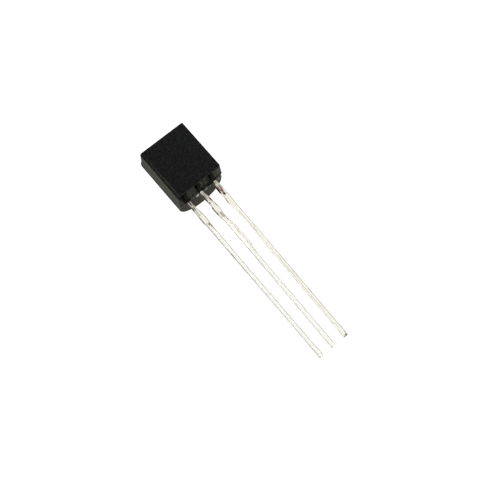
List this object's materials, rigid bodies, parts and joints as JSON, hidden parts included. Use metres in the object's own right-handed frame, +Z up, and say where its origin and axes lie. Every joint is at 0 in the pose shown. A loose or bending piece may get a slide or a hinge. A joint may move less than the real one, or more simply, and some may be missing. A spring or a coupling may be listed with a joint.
{
  "type": "to-92 transistor",
  "caption": "Small bipolar transistor in a D-shaped black plastic case with a flat face, a rounded back and straight tinned flat legs.",
  "frame": {"origin": "on the surface the part lies on, under the middle of its bounding box", "axes": "+X from the emitter to the collector, +Y from the lead tips to the top of the case, +Z up, the way the flat face looks. The legs and the flat are tilted by 8 degrees about X, because the part rests on its round back and on the three lead tips"},
  "size_m": [0.0042, 0.02, 0.0047],
  "materials": {
    "epoxy": "matte black moulded epoxy with a fine grain; the flat is darker and smoother than the sides and the ends",
    "tinned_lead": "bright satin tin plate over a stamped copper-alloy strip",
    "silicon": "polished silicon, opaque",
    "solder": "dull solder film",
    "bond_wire": "bright drawn wire"
  },
  "bodies": {
    "root": {"case": "epoxy", "emitter_lead": "tinned_lead", "base_lead": "tinned_lead", "collector_lead": "tinned_lead", "die": "silicon", "die_attach": "solder", "emitter_bond_wire": "bond_wire", "base_bond_wire": "bond_wire"}
  },
  "joints": []
}
